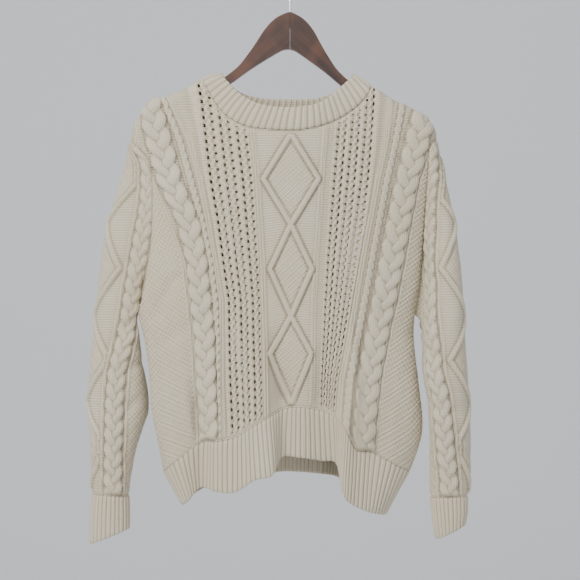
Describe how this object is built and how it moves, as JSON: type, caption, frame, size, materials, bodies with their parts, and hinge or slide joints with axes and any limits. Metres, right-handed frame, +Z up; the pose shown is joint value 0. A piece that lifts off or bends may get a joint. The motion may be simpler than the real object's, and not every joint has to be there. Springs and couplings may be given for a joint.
{
  "type": "cable knit sweater on a wooden hanger",
  "caption": "Cropped cream sweater in braided cables, diamonds and openwork, with ribbed neck, cuffs and hem, hanging on a dark wooden hanger with a steel hook.",
  "frame": {"origin": "inner crown of the hanger's hook, where it rests on a rail", "axes": "+Z up, +X to the right as seen from the front, and the sweater's front faces -Y"},
  "size_m": [0.562, 0.1311, 0.8536],
  "materials": {
    "wool_knit": "soft matt cream wool, cable knit",
    "wool_rib": "soft matt cream wool, ribbed",
    "dark_wood": "dark walnut stain, semi-gloss lacquer",
    "satin_steel": "satin"
  },
  "bodies": {
    "root": {"front_body": "wool_knit", "back_body": "wool_knit", "left_sleeve": "wool_knit", "right_sleeve": "wool_knit", "front_hem_rib": "wool_rib", "back_hem_rib": "wool_rib", "left_cuff": "wool_rib", "right_cuff": "wool_rib", "neckband": "wool_rib", "hanger_arm_left": "dark_wood", "hanger_arm_right": "dark_wood", "hanger_hook": "satin_steel"}
  },
  "joints": []
}
